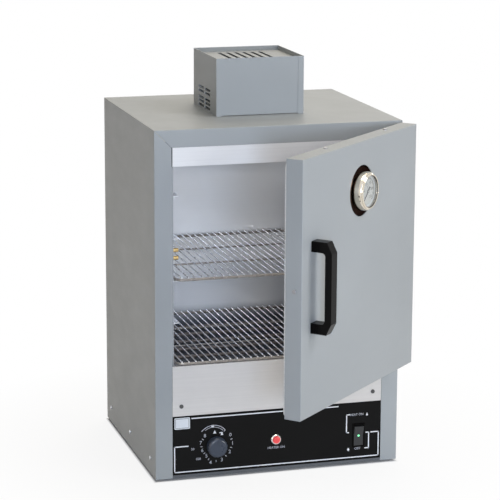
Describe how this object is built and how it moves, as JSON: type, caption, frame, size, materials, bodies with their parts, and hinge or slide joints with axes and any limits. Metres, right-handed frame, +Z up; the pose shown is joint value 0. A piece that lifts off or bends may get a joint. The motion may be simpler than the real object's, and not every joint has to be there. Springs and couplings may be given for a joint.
{
  "type": "bench laboratory oven",
  "caption": "Bench laboratory oven with forced air: insulated chamber with wire shelves, hinged door with a dial thermometer, control panel and a fan box on top.",
  "frame": {"origin": "on the bench, under the middle of the cabinet's base, at the level of the feet's undersides", "axes": "+Z up, -Y out of the front (the side of the door), +X to the right as seen from the front"},
  "size_m": [0.4565, 0.7171, 0.715],
  "materials": {
    "cabinet_grey": "semi-gloss enamel",
    "fascia_grey": "satin enamel",
    "panel_black": "satin overlay",
    "aluminised_sheet": "bright rolled sheet",
    "zinc_sheet": "zinc plated",
    "shelf_wire": "plated wire",
    "element_sheath": "heat-darkened",
    "ceramic_bush": "unglazed",
    "brass_bits": "bare",
    "copper_tube": "bare",
    "mineral_wool": "matt",
    "gasket_cloth": "matt",
    "black_plastic": "fine grained",
    "knob_plastic": "satin",
    "housing_plastic": "satin",
    "lamp_red": "translucent",
    "lamp_green": "translucent, lit",
    "plated_steel": "polished",
    "motor_iron": "satin",
    "foot_rubber": "matt",
    "magnet_grey": "matt",
    "dial_white": "printed dial",
    "dial_glass": "clear",
    "pointer_black": "matt",
    "cup_metal": "polished"
  },
  "bodies": {
    "cabinet": {"cabinet_wrap": "cabinet_grey", "base_pan": "zinc_sheet", "rear_panel": "cabinet_grey", "foot_pads": "foot_rubber", "cabinet_screws": "zinc_sheet", "chamber_liner": "aluminised_sheet", "insulation_left": "mineral_wool", "insulation_right": "mineral_wool", "insulation_top": "mineral_wool", "insulation_rear": "mineral_wool", "insulation_floor": "mineral_wool", "compartment_shield": "zinc_sheet", "upper_fascia": "fascia_grey", "lower_fascia": "fascia_grey", "ceiling_baffle": "aluminised_sheet", "shelf_rack_left": "aluminised_sheet", "shelf_rack_right": "aluminised_sheet", "heating_element": "element_sheath", "element_insulators": "ceramic_bush", "bulb_studs": "brass_bits", "bulb_clip": "plated_steel", "sensing_bulb": "copper_tube", "capillary_tube": "copper_tube", "fan_housing": "cabinet_grey", "fan_grille": "cabinet_grey", "motor_bracket": "zinc_sheet", "fan_motor": "motor_iron", "control_panel": "panel_black", "thermostat": "housing_plastic", "pilot_bezel": "plated_steel", "pilot_lens": "lamp_red", "switch_housing": "black_plastic", "cord_gland": "black_plastic", "hinge_leaves_cabinet": "plated_steel", "hinge_pins": "plated_steel"},
    "door": {"door_skin": "cabinet_grey", "door_inner_pan": "aluminised_sheet", "door_insulation": "mineral_wool", "door_gasket": "gasket_cloth", "door_magnets": "magnet_grey", "door_screws": "zinc_sheet", "door_handle": "black_plastic", "handle_screws": "plated_steel", "hinge_leaves_door": "plated_steel", "thermometer_cup": "cup_metal", "thermometer_case": "plated_steel", "thermometer_glass": "dial_glass", "thermometer_dial": "dial_white", "thermometer_stem": "plated_steel"},
    "knob": {"thermostat_knob": "knob_plastic", "thermostat_spindle": "plated_steel"},
    "rocker": {"switch_rocker": "black_plastic", "rocker_lens": "lamp_green"},
    "fan_rotor": {"fan_shaft": "plated_steel", "blower_wheel": "aluminised_sheet", "cooling_fan": "aluminised_sheet"},
    "upper_shelf_body": {"upper_shelf": "shelf_wire"},
    "lower_shelf_body": {"lower_shelf": "shelf_wire"},
    "pointer": {"thermometer_pointer": "pointer_black"}
  },
  "joints": [
    {"name": "door_hinge", "type": "hinge", "parent": "cabinet", "child": "door", "pos_m": [0.2208, -0.1998, 0.4004], "axis": [0, 0, 1], "range_deg": [-44.1, 135.9]},
    {"name": "thermostat_turn", "type": "hinge", "parent": "cabinet", "child": "knob", "pos_m": [-0.1118, -0.2006, 0.0561], "axis": [0, 1, 0], "range_deg": [0, 300]},
    {"name": "switch_rock", "type": "hinge", "parent": "cabinet", "child": "rocker", "pos_m": [0.1485, -0.1888, 0.0542], "axis": [1, 0, 0], "range_deg": [-14, 0]},
    {"name": "upper_shelf_slide", "type": "slide", "parent": "cabinet", "child": "upper_shelf_body", "axis": [0, -1, 0], "range_m": [0, 0.03]},
    {"name": "lower_shelf_slide", "type": "slide", "parent": "cabinet", "child": "lower_shelf_body", "axis": [0, -1, 0], "range_m": [0, 0.03]},
    {"name": "fan_spin", "type": "hinge", "parent": "cabinet", "child": "fan_rotor", "pos_m": [-0.001, 0.002, 0.654], "axis": [0, 0, 1], "continuous": true},
    {"name": "pointer_turn", "type": "hinge", "parent": "door", "child": "pointer", "pos_m": [0.0969, -0.37306, 0.5296], "axis": [-0.6959, 0.7181, 0], "range_deg": [-10, 280], "stiffness_Nm_per_rad": 0.002}
  ]
}
